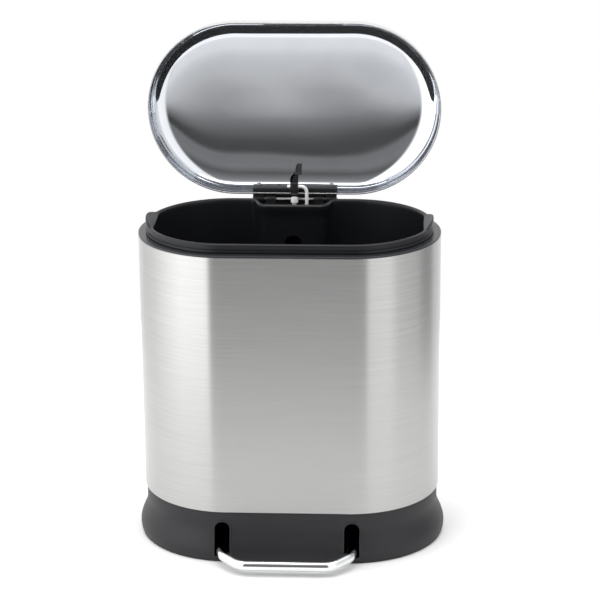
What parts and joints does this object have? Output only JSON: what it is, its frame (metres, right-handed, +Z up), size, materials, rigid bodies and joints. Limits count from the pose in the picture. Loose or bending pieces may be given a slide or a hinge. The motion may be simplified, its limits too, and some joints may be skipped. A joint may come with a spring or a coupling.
{
  "type": "pedal waste bin",
  "caption": "Oval steel waste bin with a domed hinged lid raised by a bent bar pedal, a plastic base and a lift-out bucket.",
  "frame": {"origin": "on the floor, under the middle of the oval body; the middle of the overall box is 4 mm in front of it, because the pedal reaches further forward than the open lid reaches back", "axes": "+X to the right of a person facing the pedal, +Y to the back where the hinge is, +Z up"},
  "size_m": [0.416, 0.338, 0.6755],
  "materials": {
    "brushed_steel": "fine horizontal brushing",
    "polished_steel": "polished",
    "grey_plastic": "satin moulded",
    "base_plastic": "fine moulded texture",
    "bucket_plastic": "smooth moulded",
    "foot_rubber": "matte",
    "zinc_steel": "zinc plated",
    "wire_steel": "drawn wire",
    "chrome": "polished",
    "white_plastic": "satin moulded"
  },
  "bodies": {
    "bin_body": {"steel_shell": "brushed_steel", "collar_ring": "grey_plastic", "base_skirt": "base_plastic", "base_plate": "base_plastic", "rubber_feet": "foot_rubber", "base_screws": "zinc_steel", "inner_bucket": "bucket_plastic", "hinge_housing": "bucket_plastic", "housing_screws": "zinc_steel", "damper_body": "grey_plastic", "hinge_pin": "wire_steel", "pedal_axle": "wire_steel", "axle_brackets": "base_plastic", "bracket_screws": "zinc_steel", "axle_clips": "zinc_steel"},
    "lid": {"lid_shell": "polished_steel", "lid_clamp_plate": "bucket_plastic", "hinge_leaf": "bucket_plastic", "lid_screws": "zinc_steel", "rod_clip": "grey_plastic"},
    "lift_rod": {"lift_rod": "wire_steel", "rod_retainer": "zinc_steel"},
    "pedal": {"pedal_bar": "chrome", "pedal_cross_tube": "zinc_steel", "pedal_lever": "zinc_steel", "lever_collars": "zinc_steel"},
    "plunger": {"damper_plunger": "white_plastic"}
  },
  "joints": [
    {"name": "lid_hinge", "type": "hinge", "parent": "bin_body", "child": "lid", "pos_m": [0, 0.1265, 0.43], "axis": [1, 0, 0], "range_deg": [0, 90]},
    {"name": "pedal_hinge", "type": "hinge", "parent": "bin_body", "child": "pedal", "pos_m": [0, -0.02, 0.03], "axis": [1, 0, 0], "range_deg": [-15.4, 0]},
    {"name": "rod_pivot", "type": "hinge", "parent": "lid", "child": "lift_rod", "pos_m": [0, 0.114, 0.451], "axis": [1, 0, 0], "range_deg": [-87.7, 0]},
    {"name": "plunger_slide", "type": "slide", "parent": "bin_body", "child": "plunger", "axis": [0, 0, 1], "range_m": [-0.016, 0]}
  ],
  "couplings": [
    {"joint": "pedal_hinge", "follows": "lid_hinge", "ratio": -0.171},
    {"joint": "rod_pivot", "follows": "lid_hinge", "ratio": -0.974},
    {"joint": "plunger_slide", "follows": "lid_hinge", "m_per_rad": -0.01018}
  ]
}
